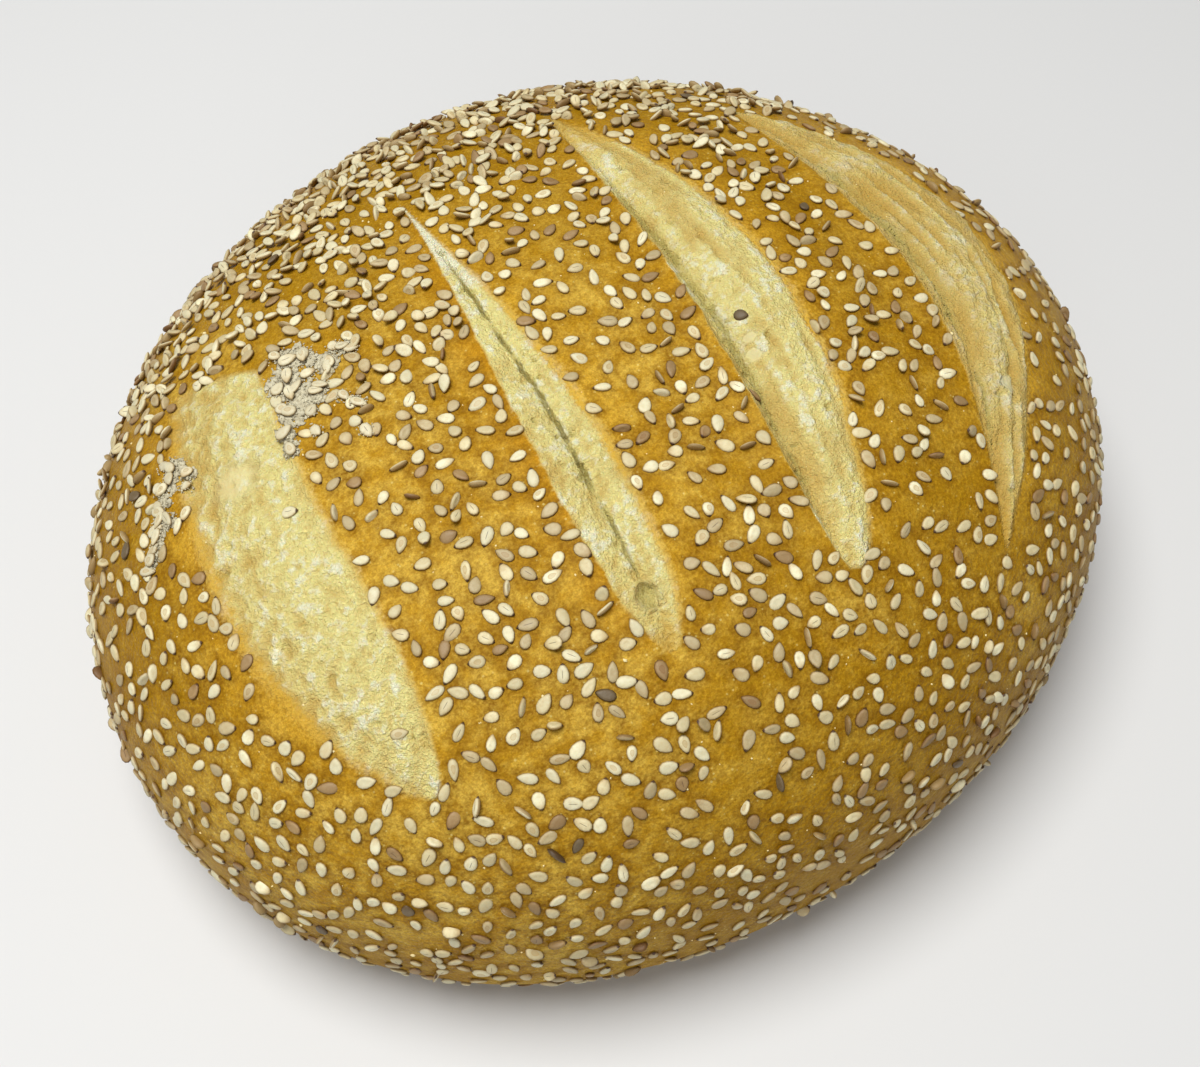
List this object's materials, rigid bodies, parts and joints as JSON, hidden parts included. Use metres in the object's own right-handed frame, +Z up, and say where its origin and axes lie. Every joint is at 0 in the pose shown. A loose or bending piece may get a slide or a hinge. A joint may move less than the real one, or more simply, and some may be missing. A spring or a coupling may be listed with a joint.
{
  "type": "sourdough loaf",
  "caption": "Oval domed hearth loaf with a seeded golden crust, long slashes that open onto pale crumb, and a flat base.",
  "frame": {"origin": "centre of the loaf's bounding box, on the surface it rests on", "axes": "+X along the loaf's long way, across the slashes; +Y along the slashes, from their feet to their heads; +Z up"},
  "size_m": [0.2117, 0.1872, 0.0839],
  "materials": {
    "crust": "satin baked crust, golden brown, with pale crumb in the slashes"
  },
  "bodies": {
    "root": {"loaf": "crust"}
  },
  "joints": []
}
